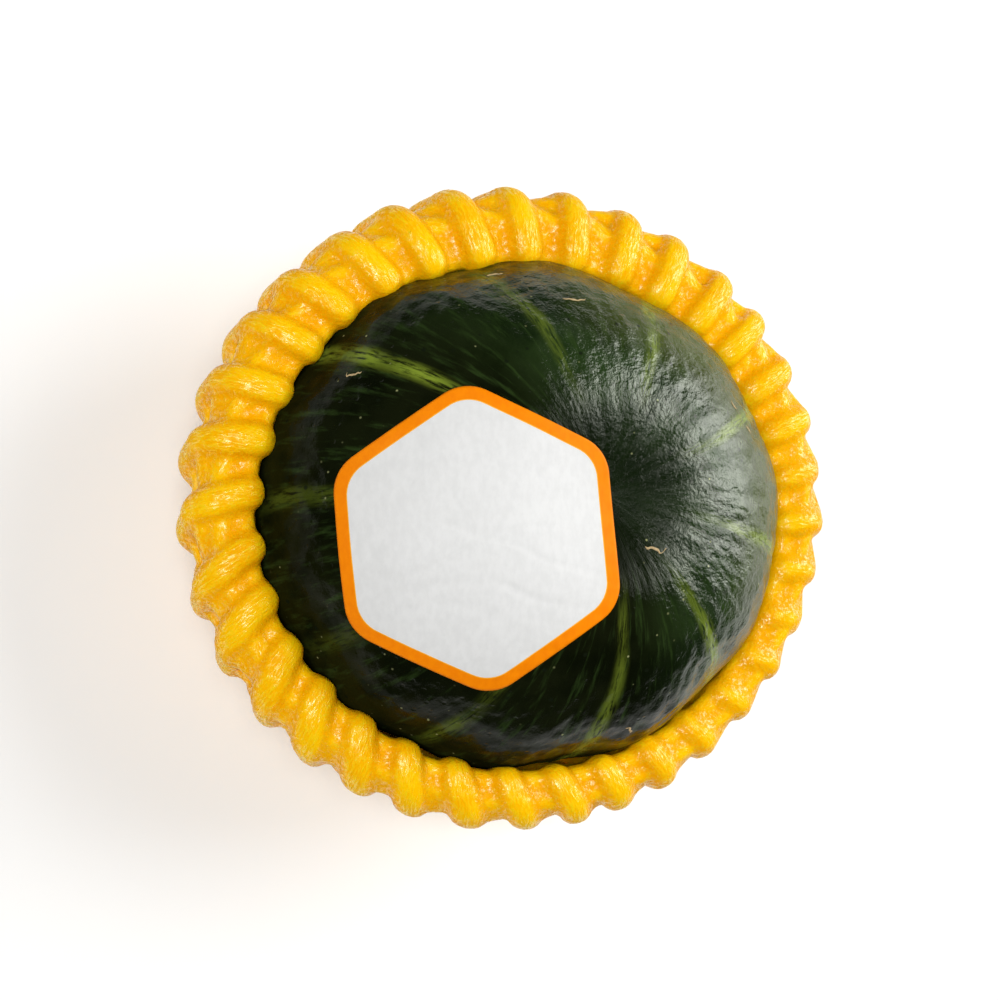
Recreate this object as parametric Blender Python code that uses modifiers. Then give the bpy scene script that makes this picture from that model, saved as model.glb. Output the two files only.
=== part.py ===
"""Baby pumpkin of the small kabocha kind, blossom end up, standing in its folded foam fruit sleeve.

Units are metres. +Z is up, +X is the side where the blossom end leans, and the origin is on the surface
that the sleeve stands on, in the middle of its outline. The fruit, its cut stem, the sleeve and the label
are four separate closed solids.
"""

import math

import bmesh
import bpy
from mathutils import Matrix, Vector

TAU = 2.0 * math.pi

# The fruit: middle of its widest level, and its half sizes before it is stretched
FRUIT_X = -0.00054
FRUIT_Y = -0.00136
FRUIT_Z = 0.0378
FRUIT_RADIUS = 0.0500
FRUIT_HALF_HEIGHT = 0.0330
STRETCH_X = 1.02
STRETCH_Y = 0.95
SIDE_POWER = 0.88
SHOULDER_POWER = 0.95

# The axis from stem to blossom leans, so the blossom end lies this far from the middle
POLE_LEAN = 0.0038
LEAN_TOWARD = math.radians(13)

# The hollow at the blossom end and the deeper one round the stem
BASIN_DEPTH = 0.0048
BASIN_WIDTH = 0.0130
CAVITY_DEPTH = 0.0100
CAVITY_WIDTH = 0.0120

# Ten ribs, a little wider on one side of the fruit than on the other
RIBS = 10
RIB_DEPTH = 0.0014
RIB_FIRST = math.radians(31)
RIB_UNEVEN = math.radians(7.5)
RIB_UNEVEN_FROM = math.radians(50)
FRUIT_COLUMNS = 6 * RIBS
FRUIT_ROWS = 24
ROW_CROWDING = 0.30

# The cut stem: a corky stub that flares where it leaves the fruit
STEM_COLUMNS = 30
STEM_FLARE = 0.0082
STEM_RADIUS = 0.0064
STEM_NECK = 0.0058
STEM_LENGTH = 0.0095
STEM_RIDGES = 5
STEM_RIDGE_DEPTH = 0.0005
STEM_CUT_BEVEL = 0.0008

# The foam sleeve: how far it stands off the skin, how thick it is, and how high its folded rim reaches
FIT_GAP = 0.0004
FOAM_SIDE = 0.0103
FOAM_SIDE_X = 0.0005
FOAM_SIDE_Y = 0.0016
FOAM_OVAL = 0.0006
FOAM_OVAL_TOWARD = math.radians(65)
FOAM_UNDER = 0.0082
FOAM_THINS_FROM = math.radians(92)
FOAM_THINS_TO = math.radians(150)
RIM_TURN = math.radians(87.5)
RIM_TURN_X = math.radians(-4.0)
RIM_TURN_Y = math.radians(-2.5)
RIM_FOLD_HEIGHT = 0.92
RIM_HUG = math.radians(6)
HOLE_TURN = math.radians(162)

# The net of strands shows as staggered ridges: lobes round the rim, and rows down the outside
LOBES = 34
COLUMNS_A_LOBE = 4
RIDGE_HEIGHT = 0.0015
RIDGE_OUTSIDE = 0.0014
FLAT_FROM = math.radians(146)
FLAT_TO = math.radians(154)
CREST_STEPS = 6
OUTSIDE_STEPS = 14
INSIDE_STEPS = 9

# The six-sided paper label with rounded corners
LABEL_X = -0.0222
LABEL_Y = -0.0086
LABEL_FACES = (math.radians(195), math.radians(25))
LABEL_TWIST = math.radians(5)
LABEL_HALF_FLATS = 0.0228
LABEL_CORNER = 0.0070
LABEL_RINGS = 6
LABEL_COLUMNS = 36
LABEL_LIFT = 0.0005
LABEL_THICKNESS = 0.0004
LABEL_BASIN_DEPTH = 0.0032

# Each finish is a colour and a roughness
SKIN_FINISH = ((0.012, 0.035, 0.022), 0.32)
CORK_FINISH = ((0.34, 0.25, 0.12), 0.85)
FOAM_FINISH = ((0.95, 0.60, 0.01), 0.45)
PAPER_FINISH = ((0.82, 0.82, 0.81), 0.50)


def clear_scene():
    """Take away everything that a new file starts with."""
    for old in list(bpy.data.objects):
        bpy.data.objects.remove(old, do_unlink=True)


def make_collection(name):
    """A collection in the scene."""
    group = bpy.data.collections.new(name)
    bpy.context.scene.collection.children.link(group)
    return group


def make_material(name, finish):
    """A Principled material of one colour and roughness."""
    colour, roughness = finish
    material = bpy.data.materials.new(name)
    material.use_nodes = True
    shader = material.node_tree.nodes["Principled BSDF"]
    shader.inputs["Base Color"].default_value = (*colour, 1.0)
    shader.inputs["Roughness"].default_value = roughness
    shader.inputs["Metallic"].default_value = 0.0
    return material


def make_object(name, form, group, material):
    """Turn a bmesh into a smooth-shaded object of its own."""
    mesh = bpy.data.meshes.new(name)
    form.to_mesh(mesh)
    form.free()
    mesh.shade_smooth()
    mesh.set_sharp_from_angle(angle=math.radians(50))
    thing = bpy.data.objects.new(name, mesh)
    thing.data.materials.append(material)
    group.objects.link(thing)
    return thing


def smooth_step(value, start, end):
    """Rise smoothly from 0 at start to 1 at end."""
    part = min(max((value - start) / (end - start), 0.0), 1.0)
    return part * part * (3.0 - 2.0 * part)


def place(radius, angle, height):
    """The place of a point of the round profile, once the fruit is stretched and leans."""
    lean = POLE_LEAN * height / FRUIT_HALF_HEIGHT
    x = FRUIT_X + STRETCH_X * radius * math.cos(angle) + lean * math.cos(LEAN_TOWARD)
    y = FRUIT_Y + STRETCH_Y * radius * math.sin(angle) + lean * math.sin(LEAN_TOWARD)
    return Vector((x, y, FRUIT_Z + height))


def profile(turn, basin):
    """Radius and height of the skin, at an angle counted down from the blossom end."""
    radius = FRUIT_RADIUS * max(math.sin(turn), 0.0) ** SIDE_POWER
    level = math.cos(turn)
    height = math.copysign(FRUIT_HALF_HEIGHT * abs(level) ** SHOULDER_POWER, level)
    if level > 0.0:
        height -= basin * math.exp(-((radius / BASIN_WIDTH) ** 2))
    else:
        height += CAVITY_DEPTH * math.exp(-((radius / CAVITY_WIDTH) ** 2))
    return radius, height


def skin(turn, basin=BASIN_DEPTH, off=0.0):
    """The profile, moved off the skin along its own normal."""
    step = math.radians(0.5)
    above = profile(max(turn - step, 0.0), basin)
    below = profile(min(turn + step, math.pi), basin)
    along = Vector((below[0] - above[0], below[1] - above[1])).normalized()
    radius, height = profile(turn, basin)
    return radius - off * along.y, height + off * along.x


def row_turn(part):
    """Rows of the fruit lie closer together towards its two ends."""
    turn = math.pi * part
    return turn - 0.5 * ROW_CROWDING * math.sin(2.0 * turn)


def rib_angle(angle):
    """Where a column of the fruit lies, with the ribs uneven round it."""
    turned = angle + RIB_FIRST
    return turned + RIB_UNEVEN * math.sin(turned - RIB_UNEVEN_FROM)


def fruit_form(basin):
    """A ball, reshaped row by row and column by column into the ribbed fruit."""
    form = bmesh.new()
    bmesh.ops.create_uvsphere(form, u_segments=FRUIT_COLUMNS, v_segments=FRUIT_ROWS, radius=1.0)
    for vertex in form.verts:
        turn = row_turn(math.acos(max(-1.0, min(1.0, vertex.co.z))) / math.pi)
        angle = math.atan2(vertex.co.y, vertex.co.x)
        radius, height = skin(turn, basin)
        groove = (0.5 + 0.5 * math.cos(RIBS * angle)) * math.sin(turn) ** 2
        vertex.co = place(radius - RIB_DEPTH * groove, rib_angle(angle), height)
    bmesh.ops.recalc_face_normals(form, faces=form.faces)
    return form


def make_pumpkin(group, material):
    """The fruit, one solid."""
    return make_object("pumpkin", fruit_form(BASIN_DEPTH), group, material)


def stem_profile():
    """Radius and height down the stub: the flare under the skin, the neck, the side and the cut end."""
    middle, first, second = (skin(row_turn(1.0 - row / FRUIT_ROWS), off=FIT_GAP) for row in range(3))
    part = (STEM_FLARE - first[0]) / (second[0] - first[0])
    flare_edge = first[1] + part * (second[1] - first[1])
    cut = middle[1] - STEM_LENGTH
    return [
        (0.0, middle[1]),
        first,
        (STEM_FLARE, flare_edge),
        (0.5 * (STEM_FLARE + STEM_NECK), flare_edge - STEM_CUT_BEVEL),
        (STEM_NECK, 0.5 * (flare_edge + cut)),
        (STEM_RADIUS, cut + STEM_CUT_BEVEL),
        (STEM_RADIUS - STEM_CUT_BEVEL, cut),
        (0.0, cut),
    ]


def make_stem(group, material):
    """The cut stub in the cavity: its profile is spun, then given its shallow ridges."""
    points = stem_profile()
    form = bmesh.new()
    verts = [form.verts.new((radius, 0.0, height)) for radius, height in points]
    edges = [form.edges.new(pair) for pair in zip(verts, verts[1:])]
    bmesh.ops.spin(
        form,
        geom=verts + edges,
        cent=(0.0, 0.0, 0.0),
        axis=(0.0, 0.0, 1.0),
        angle=TAU,
        steps=STEM_COLUMNS,
        use_merge=True,
    )
    bmesh.ops.remove_doubles(form, verts=form.verts, dist=1e-6)
    flare_edge = points[2][1]
    for vertex in form.verts:
        radius = math.hypot(vertex.co.x, vertex.co.y)
        angle = math.atan2(vertex.co.y, vertex.co.x)
        if vertex.co.z < flare_edge - 0.5 * STEM_CUT_BEVEL and radius > 0.5 * STEM_RADIUS:
            radius += STEM_RIDGE_DEPTH * math.cos(STEM_RIDGES * angle)
        vertex.co = place(radius, angle, vertex.co.z)
    bmesh.ops.recalc_face_normals(form, faces=form.faces)
    return make_object("stem", form, group, material)


def foam_thickness(turn, angle):
    """The sleeve is thickest at the rim, uneven round the fruit, and squashed thinner under it."""
    side = FOAM_SIDE + FOAM_SIDE_X * math.cos(angle) + FOAM_SIDE_Y * math.sin(angle)
    side += FOAM_OVAL * math.cos(2.0 * (angle - FOAM_OVAL_TOWARD))
    under = smooth_step(turn, FOAM_THINS_FROM, FOAM_THINS_TO)
    return side + (FOAM_UNDER - side) * under


def rim_turn(angle):
    """How far down from the blossom end the fold of the rim lies: it stands higher on one side."""
    return RIM_TURN + RIM_TURN_X * math.cos(angle) + RIM_TURN_Y * math.sin(angle)


def ridge(angle, step):
    """The staggered ridges: on each lobe at the fold, between the lobes two steps down, and so on."""
    return math.cos(LOBES * angle) * math.cos(0.5 * math.pi * step)


def sleeve_stations():
    """The closed section of the sleeve, as (side, place along it): up the inside, over the fold, down."""
    inside = [("inside", 1.0 - step / INSIDE_STEPS) for step in range(INSIDE_STEPS)]
    fold = [("fold", step / CREST_STEPS) for step in range(CREST_STEPS + 1)]
    outside = [("outside", step / OUTSIDE_STEPS) for step in range(1, OUTSIDE_STEPS + 1)]
    return inside + fold + outside


def sleeve_point(station, angle):
    """The place of one point of the sleeve."""
    side, along = station
    top = rim_turn(angle)
    if side == "inside":
        hug = top - RIM_HUG
        radius, height = skin(hug + (HOLE_TURN - hug) * along, off=FIT_GAP)
        return place(radius, angle, height)
    if side == "fold":
        inner = Vector(skin(top - RIM_HUG, off=FIT_GAP))
        outer = Vector(skin(top, off=FIT_GAP + foam_thickness(top, angle)))
        swing = math.pi * along
        middle = 0.5 * (inner + outer)
        across = 0.5 * (outer - inner)
        up = Vector((-across.y, across.x)) * RIM_FOLD_HEIGHT
        away = up * math.sin(swing) - across * math.cos(swing)
        lift = RIDGE_HEIGHT * smooth_step(along, 0.0, 0.2) * ridge(angle, 0)
        point = middle + away + away.normalized() * lift
        return place(point.x, angle, point.y)
    turn = top + (HOLE_TURN - top) * along
    shown = 1.0 - smooth_step(turn, FLAT_FROM, FLAT_TO)
    lift = RIDGE_OUTSIDE * shown * ridge(angle, along * OUTSIDE_STEPS)
    reach = skin(turn, off=FIT_GAP + foam_thickness(turn, angle) + lift)
    spot = place(reach[0], angle, reach[1])
    spot.z = max(spot.z, 0.0)
    return spot


def make_sleeve(group, material):
    """The foam net: a grid wrapped round the fruit one way and round its own section the other way."""
    stations = sleeve_stations()
    columns = LOBES * COLUMNS_A_LOBE
    rows = len(stations)
    form = bmesh.new()
    bmesh.ops.create_grid(form, x_segments=columns, y_segments=rows, size=1.0)
    spots = {}
    for vertex in form.verts:
        column = round((vertex.co.x + 1.0) * 0.5 * columns)
        row = round((vertex.co.y + 1.0) * 0.5 * rows)
        spots[vertex] = (row, column)
    between_bumps = [vertex for vertex, (row, column) in spots.items() if (row + column) % 2 == 0]
    bmesh.ops.connect_verts(form, verts=between_bumps)
    for vertex, (row, column) in spots.items():
        vertex.co = sleeve_point(stations[row % rows], TAU * (column % columns) / columns)
    bmesh.ops.remove_doubles(form, verts=form.verts, dist=1e-6)
    bmesh.ops.recalc_face_normals(form, faces=form.faces)
    return make_object("foam_net", form, group, material)


def label_reach(angle):
    """How far the label's edge is from its middle: six flats, with the corners rounded."""
    corner_reach = LABEL_HALF_FLATS / math.cos(math.pi / 6)
    corner = corner_reach - LABEL_CORNER / math.cos(math.pi / 6)
    sector = math.pi / 3
    off_corner = (angle + sector / 2) % sector - sector / 2
    flat = LABEL_HALF_FLATS / math.cos(math.pi / 6 - abs(off_corner))
    if abs(off_corner) > math.atan2(LABEL_CORNER / 2, corner + LABEL_CORNER * math.cos(math.pi / 6)):
        return flat
    across = corner * math.sin(off_corner)
    return corner * math.cos(off_corner) + math.sqrt(LABEL_CORNER**2 - across**2)


def make_label(group, guides, material):
    """The label: a flat rounded hexagon laid on the skin, bridging part of the basin, then thickened."""
    carrier = make_object("label_guide", fruit_form(LABEL_BASIN_DEPTH), guides, material)
    carrier.hide_render = True
    carrier.display_type = "WIRE"
    form = bmesh.new()
    verts = [form.verts.new((step / LABEL_RINGS, 0.0, 0.0)) for step in range(LABEL_RINGS + 1)]
    edges = [form.edges.new(pair) for pair in zip(verts, verts[1:])]
    bmesh.ops.spin(
        form,
        geom=verts + edges,
        cent=(0.0, 0.0, 0.0),
        axis=(0.0, 0.0, 1.0),
        angle=TAU,
        steps=LABEL_COLUMNS,
        use_merge=True,
    )
    bmesh.ops.remove_doubles(form, verts=form.verts, dist=1e-6)
    for vertex in form.verts:
        reach = label_reach(math.atan2(vertex.co.y, vertex.co.x))
        vertex.co *= reach
    bmesh.ops.recalc_face_normals(form, faces=form.faces)
    label = make_object("sticker", form, group, material)
    toward, tilt = LABEL_FACES
    facing = Vector((math.cos(toward) * math.sin(tilt), math.sin(toward) * math.sin(tilt), math.cos(tilt)))
    across = Vector((0.0, 1.0, 0.0)).cross(facing).normalized()
    upright = facing.cross(across)
    square_on = Matrix((across, upright, facing)).transposed().to_4x4()
    middle = Vector((FRUIT_X + LABEL_X, FRUIT_Y + LABEL_Y, FRUIT_Z + FRUIT_HALF_HEIGHT))
    label.matrix_world = (
        Matrix.Translation(middle) @ square_on @ Matrix.Rotation(LABEL_TWIST + math.pi / 2, 4, "Z")
    )
    wrap = label.modifiers.new("lay on the skin", "SHRINKWRAP")
    wrap.target = carrier
    wrap.wrap_method = "PROJECT"
    wrap.use_project_z = True
    wrap.use_negative_direction = True
    wrap.use_positive_direction = True
    wrap.offset = LABEL_LIFT
    paper = label.modifiers.new("paper", "SOLIDIFY")
    paper.thickness = LABEL_THICKNESS
    paper.offset = 1.0
    return label


def main():
    """Build the four pieces."""
    clear_scene()
    parts = make_collection("baby_pumpkin")
    guides = make_collection("guides")
    skin_material = make_material("pumpkin_skin", SKIN_FINISH)
    cork_material = make_material("stem_cork", CORK_FINISH)
    foam_material = make_material("foam", FOAM_FINISH)
    paper_material = make_material("label_paper", PAPER_FINISH)
    make_pumpkin(parts, skin_material)
    make_stem(parts, cork_material)
    make_sleeve(parts, foam_material)
    make_label(parts, guides, paper_material)


main()
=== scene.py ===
# %% [markdown]
# # A baby pumpkin in its foam sleeve
# The part is a small kabocha pumpkin, about 100 mm across, with its blossom end up. It stands in a yellow
# foam fruit sleeve that is folded over at the rim, and a six-sided paper label is stuck to its skin.
# The imported solids give the sizes and places. They come in first and are never moved: finer pieces are
# made where they are, and a new piece hides the solid it stands for.

import math

import bmesh
import bpy
from mathutils import Matrix, Vector, noise
from mathutils.bvhtree import BVHTree
from mathutils.kdtree import KDTree


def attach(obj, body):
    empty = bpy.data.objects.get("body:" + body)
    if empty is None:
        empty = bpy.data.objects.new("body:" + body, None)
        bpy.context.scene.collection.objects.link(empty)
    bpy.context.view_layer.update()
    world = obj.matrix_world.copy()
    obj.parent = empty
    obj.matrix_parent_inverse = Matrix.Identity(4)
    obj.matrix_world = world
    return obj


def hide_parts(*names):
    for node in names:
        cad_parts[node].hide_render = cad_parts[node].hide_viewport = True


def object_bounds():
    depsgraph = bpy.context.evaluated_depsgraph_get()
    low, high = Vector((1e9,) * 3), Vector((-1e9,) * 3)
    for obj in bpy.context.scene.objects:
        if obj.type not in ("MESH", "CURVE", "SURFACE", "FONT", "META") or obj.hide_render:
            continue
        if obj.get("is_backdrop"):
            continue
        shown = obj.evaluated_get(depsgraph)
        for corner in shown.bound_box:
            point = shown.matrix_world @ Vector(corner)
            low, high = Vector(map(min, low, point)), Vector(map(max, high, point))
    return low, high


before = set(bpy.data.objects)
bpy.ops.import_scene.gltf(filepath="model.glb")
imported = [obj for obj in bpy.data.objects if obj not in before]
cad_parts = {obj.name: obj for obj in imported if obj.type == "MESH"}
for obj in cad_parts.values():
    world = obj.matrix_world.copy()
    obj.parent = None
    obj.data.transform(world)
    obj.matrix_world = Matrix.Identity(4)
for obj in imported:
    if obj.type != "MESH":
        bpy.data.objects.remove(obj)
solid_low, solid_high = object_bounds()
TAU = 2.0 * math.pi
MM = 0.001
print("solids:", sorted(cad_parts), "size", [round(x / MM, 1) for x in solid_high - solid_low], "mm")

# %% [markdown]
# ## The shape that everything follows
# The skin of the fruit carries the label, fills the sleeve and holds the stem, so its shape is written once,
# as a formula. A turned profile would be the plain way. Here the profile is also stretched a little, leans
# towards one side, and has a hollow at each end, which is why a formula with named sizes was chosen.

# %% The fruit's profile
FRUIT_X = -0.54 * MM
FRUIT_Y = -1.36 * MM
FRUIT_Z = 37.8 * MM
FRUIT_RADIUS = 50.0 * MM
FRUIT_HALF_HEIGHT = 33.0 * MM
STRETCH_X = 1.02
STRETCH_Y = 0.95
SIDE_POWER = 0.88
SHOULDER_POWER = 0.95
POLE_LEAN = 3.8 * MM
LEAN_TOWARD = math.radians(13)
BASIN_DEPTH = 4.8 * MM
BASIN_WIDTH = 13.0 * MM
CAVITY_DEPTH = 10.0 * MM
CAVITY_WIDTH = 12.0 * MM


def place(radius, angle, height):
    """The place of a point of the round profile, once the fruit is stretched and leans."""
    lean = POLE_LEAN * height / FRUIT_HALF_HEIGHT
    x = FRUIT_X + STRETCH_X * radius * math.cos(angle) + lean * math.cos(LEAN_TOWARD)
    y = FRUIT_Y + STRETCH_Y * radius * math.sin(angle) + lean * math.sin(LEAN_TOWARD)
    return Vector((x, y, FRUIT_Z + height))


def profile(turn, basin):
    """Radius and height of the skin, at an angle counted down from the blossom end."""
    radius = FRUIT_RADIUS * max(math.sin(turn), 0.0) ** SIDE_POWER
    level = math.cos(turn)
    height = math.copysign(FRUIT_HALF_HEIGHT * abs(level) ** SHOULDER_POWER, level)
    if level > 0.0:
        height -= basin * math.exp(-((radius / BASIN_WIDTH) ** 2))
    else:
        height += CAVITY_DEPTH * math.exp(-((radius / CAVITY_WIDTH) ** 2))
    return radius, height


def facing_out(turn, basin=BASIN_DEPTH):
    """The way the skin faces in the profile, as (outward, upward)."""
    step = math.radians(0.5)
    above = profile(max(turn - step, 0.0), basin)
    below = profile(min(turn + step, math.pi), basin)
    along = Vector((below[0] - above[0], below[1] - above[1])).normalized()
    return -along.y, along.x


def skin(turn, basin=BASIN_DEPTH, off=0.0):
    """The profile, moved off the skin along its own normal."""
    radius, height = profile(turn, basin)
    outward, upward = facing_out(turn, basin)
    return radius + off * outward, height + off * upward


def smooth_step(value, start, end):
    """Rise smoothly from 0 at start to 1 at end."""
    part = min(max((value - start) / (end - start), 0.0), 1.0)
    return part * part * (3.0 - 2.0 * part)


def plateau(value, start, full, fading, end):
    """Rise from 0 at start to 1 at full, stay there, and fall from fading to 0 at end."""
    return smooth_step(value, start, full) * (1.0 - smooth_step(value, fading, end))


widest = 2 * STRETCH_X * profile(math.pi / 2, BASIN_DEPTH)[0]
print("the fruit is", round(widest / MM, 1), "mm across at its widest")

# %% [markdown]
# ## The camera
# The photograph looks steeply down on the blossom end, a little from one side, with a normal lens from
# about a quarter of a metre away. The camera stands there. Its shift moves the picture by a few percent,
# so that the fruit lies in the frame where it lies in the photograph.

# %% Camera
VIEW_TOWARD = math.radians(195)
VIEW_FROM_ABOVE = math.radians(25.13)
VIEW_DISTANCE = 0.2613
VIEW_LENS = 50.03
VIEW_SHIFT_X = -0.0185
VIEW_SHIFT_Y = 0.0135


def direction(azimuth, from_above):
    """The unit vector towards an azimuth, tilted away from straight up."""
    level = math.sin(from_above)
    return Vector((math.cos(azimuth) * level, math.sin(azimuth) * level, math.cos(from_above)))


def square_on(facing):
    """A turn that puts Z along facing, with X level with the frame's X axis."""
    across = Vector((0.0, 1.0, 0.0)).cross(facing).normalized()
    return Matrix((across, facing.cross(across), facing)).transposed().to_4x4()


def add_object(name, data):
    """A new object in the scene, at the origin."""
    thing = bpy.data.objects.new(name, data)
    bpy.context.scene.collection.objects.link(thing)
    return thing


def aim(name, data, place_at, facing):
    """Put a camera or a lamp in the scene, looking against facing."""
    thing = add_object(name, data)
    thing.matrix_world = Matrix.Translation(place_at) @ square_on(facing)
    return thing


fruit_middle = Vector((FRUIT_X, FRUIT_Y, FRUIT_Z))
eye_way = direction(VIEW_TOWARD, VIEW_FROM_ABOVE)
camera_data = bpy.data.cameras.new("view")
camera_data.lens = VIEW_LENS
camera_data.sensor_width = 36.0
camera_data.shift_x = VIEW_SHIFT_X
camera_data.shift_y = VIEW_SHIFT_Y
camera_data.clip_start = 0.01
camera = aim("view", camera_data, fruit_middle + eye_way * VIEW_DISTANCE, eye_way)
bpy.context.scene.camera = camera
print("camera at", [round(x, 3) for x in camera.location])

# %% [markdown]
# ## Nodes in few words
# Every finish below is a tree of shader nodes. It could be built node by node, but that takes many lines.
# Small helpers keep the trees short: the first starts a Principled material, the next adds a node with
# its settings, and the rest mix, fade, multiply or read what the finishes need again and again.

# %% Helpers for finishes
def start_finish(name, colour, roughness):
    """A Principled material. Returns it with its tree and its shader."""
    material = bpy.data.materials.new(name)
    material.use_nodes = True
    tree = material.node_tree
    shader = tree.nodes["Principled BSDF"]
    shader.inputs["Base Color"].default_value = (*colour, 1.0)
    shader.inputs["Roughness"].default_value = roughness
    return material, tree, shader


def feed(tree, socket, value):
    """Link an output to a socket, or set the socket to a value. A colour may be three numbers."""
    if isinstance(value, bpy.types.NodeSocket):
        tree.links.new(value, socket)
    elif socket.type == "RGBA":
        socket.default_value = (*value, 1.0)
    else:
        socket.default_value = value


def add_node(tree, kind, settings=(), **sockets):
    """A node with its settings, each socket given a value or linked to another node's output."""
    node = tree.nodes.new("ShaderNode" + kind)
    for name, value in dict(settings).items():
        setattr(node, name, value)
    for name, value in sockets.items():
        feed(tree, node.inputs[name.replace("_", " ")], value)
    return node


def mix_colours(tree, share, first, second):
    """The colour between two colours. The node keeps its colour sockets at 6, 7 and output 2."""
    node = add_node(tree, "Mix", {"data_type": "RGBA"})
    for number, value in ((0, share), (6, first), (7, second)):
        feed(tree, node.inputs[number], value)
    return node.outputs[2]


def fade(tree, value, start, end, low=0.0, high=1.0):
    """Map a value smoothly from start and end to low and high, and hold it there outside."""
    settings = {"interpolation_type": "SMOOTHSTEP"}
    limits = {"From_Min": start, "From_Max": end, "To_Min": low, "To_Max": high}
    return add_node(tree, "MapRange", settings, Value=value, **limits).outputs["Result"]


def multiply(tree, first, second):
    """The product of two values."""
    node = add_node(tree, "Math", {"operation": "MULTIPLY"})
    for socket, value in zip(node.inputs, (first, second)):
        feed(tree, socket, value)
    return node.outputs[0]


def blend(tree, share, first, second):
    """The value between two values. The node keeps its value sockets at 2, 3 and output 0."""
    node = add_node(tree, "Mix")
    for number, value in ((0, share), (2, first), (3, second)):
        feed(tree, node.inputs[number], value)
    return node.outputs[0]


def own_place(tree):
    """Where a point of the piece lies, in metres."""
    return add_node(tree, "TexCoord").outputs["Object"]


def read_attribute(tree, name, output="Vector"):
    """What a piece's vertices carry under that name."""
    return add_node(tree, "Attribute", {"attribute_name": name}).outputs[output]


def scaled(tree, vector, scale):
    """A pattern's coordinates, stretched."""
    return add_node(tree, "Mapping", Vector=vector, Scale=scale).outputs["Vector"]


def clouds(tree, vector, scale, detail=4.0, roughness=0.55):
    """Soft noise, as a value from 0 to 1."""
    sockets = {"Vector": vector, "Scale": scale, "Detail": detail, "Roughness": roughness}
    return add_node(tree, "TexNoise", **sockets).outputs["Fac"]


def make_bump(tree, shader, layers):
    """Chain bumps of (height output, depth in metres) and give the last one to the shader."""
    normal = None
    for height, depth in layers:
        node = add_node(tree, "Bump", Height=height, Distance=depth, Strength=1.0)
        if normal:
            tree.links.new(normal, node.inputs["Normal"])
        normal = node.outputs["Normal"]
    tree.links.new(normal, shader.inputs["Normal"])


print("helpers for finishes are ready")

# %% [markdown]
# ## Floor and light
# A pale floor and soft lamps, as in a small studio. The main light in the photograph comes low from the
# right, where it draws a long soft gleam on the fruit's shoulder. A second soft lamp overhead lights the
# sleeve and the label. Its own reflection falls where the label is, so the skin beside it stays dark.

# %% Floor, lamps and background
FLOOR_SIZE = 6.0
FLOOR_COLOUR = (0.93, 0.93, 0.92)
BACKGROUND_LIGHT = 0.03


def add_lamp(name, azimuth, from_above, distance, size, watts):
    """A soft lamp that shines on the fruit."""
    data = bpy.data.lights.new(name, "AREA")
    data.shape = "RECTANGLE"
    data.size, data.size_y = size
    data.energy = watts
    way = direction(math.radians(azimuth), math.radians(from_above))
    return aim(name, data, fruit_middle + way * distance, way)


floor_form = bmesh.new()
bmesh.ops.create_grid(floor_form, x_segments=1, y_segments=1, size=FLOOR_SIZE)
floor_mesh = bpy.data.meshes.new("floor")
floor_form.to_mesh(floor_mesh)
floor_form.free()
floor_mesh.materials.append(start_finish("floor", FLOOR_COLOUR, 0.85)[0])
floor = add_object("floor", floor_mesh)
floor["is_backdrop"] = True

add_lamp("window_lamp", azimuth=18, from_above=59, distance=0.75, size=(0.80, 0.50), watts=6.0)
add_lamp("room_lamp", azimuth=195, from_above=25, distance=0.80, size=(0.36, 0.36), watts=5.8)

world = bpy.data.worlds.new("studio")
world.use_nodes = True
background = world.node_tree.nodes["Background"]
background.inputs["Color"].default_value = (1.0, 1.0, 1.0, 1.0)
background.inputs["Strength"].default_value = BACKGROUND_LIGHT
bpy.context.scene.world = world
bpy.context.scene.view_settings.view_transform = "Standard"
print("floor and", len(bpy.data.lights), "lamps are in place")

# %% [markdown]
# ## Turning a bmesh into a finished piece
# Each piece becomes an object at the origin whose place is in its mesh, rides on the frame's one body,
# takes its finishes in their slots, and hides the solid it replaces. It could be written out for each
# piece; a few helpers do it for all of them, and one spins a line into a round form.

# %% Helpers for pieces
def spin_round(form, points, steps, merge):
    """Spin a line of (distance out, height) points once round and close it in the middle."""
    verts = [form.verts.new((out, 0.0, height)) for out, height in points]
    edges = [form.edges.new(pair) for pair in zip(verts, verts[1:])]
    bmesh.ops.spin(
        form,
        geom=verts + edges,
        cent=(0.0, 0.0, 0.0),
        axis=(0.0, 0.0, 1.0),
        angle=TAU,
        steps=steps,
        use_merge=True,
    )
    bmesh.ops.remove_doubles(form, verts=form.verts, dist=merge)


def make_mesh(name, form):
    """A mesh from a bmesh, with its normals pointing out."""
    bmesh.ops.recalc_face_normals(form, faces=form.faces)
    mesh = bpy.data.meshes.new(name)
    form.to_mesh(mesh)
    form.free()
    mesh.shade_smooth()
    return mesh


def make_piece(name, mesh, finishes, node=None):
    """A piece of the part, from a mesh that is already in place."""
    for finish in finishes:
        mesh.materials.append(finish)
    piece = add_object(name, mesh)
    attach(piece, "root")
    if node:
        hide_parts(node)
    triangles = sum(len(face.vertices) - 2 for face in mesh.polygons)
    print(name, "has", triangles, "triangles")
    return piece


# %% [markdown]
# ## The fruit
# A kabocha has a hard, waxy, very dark green rind with ten shallow grooves, each with a broken pale
# stripe. Fine wrinkles run out from the blossom end, and the shoulder looks hammered. A ball primitive
# this fine takes Blender long to make, so a grid is rolled up instead: each vertex is moved to its place on
# the ribbed profile, and a little further in or out by noise, and the seam and the two poles are merged.
# Two layers of vertex data go with it for the finish: the lie of the skin, which lets patterns run from
# pole to pole, and the strength of the stripe.

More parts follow.
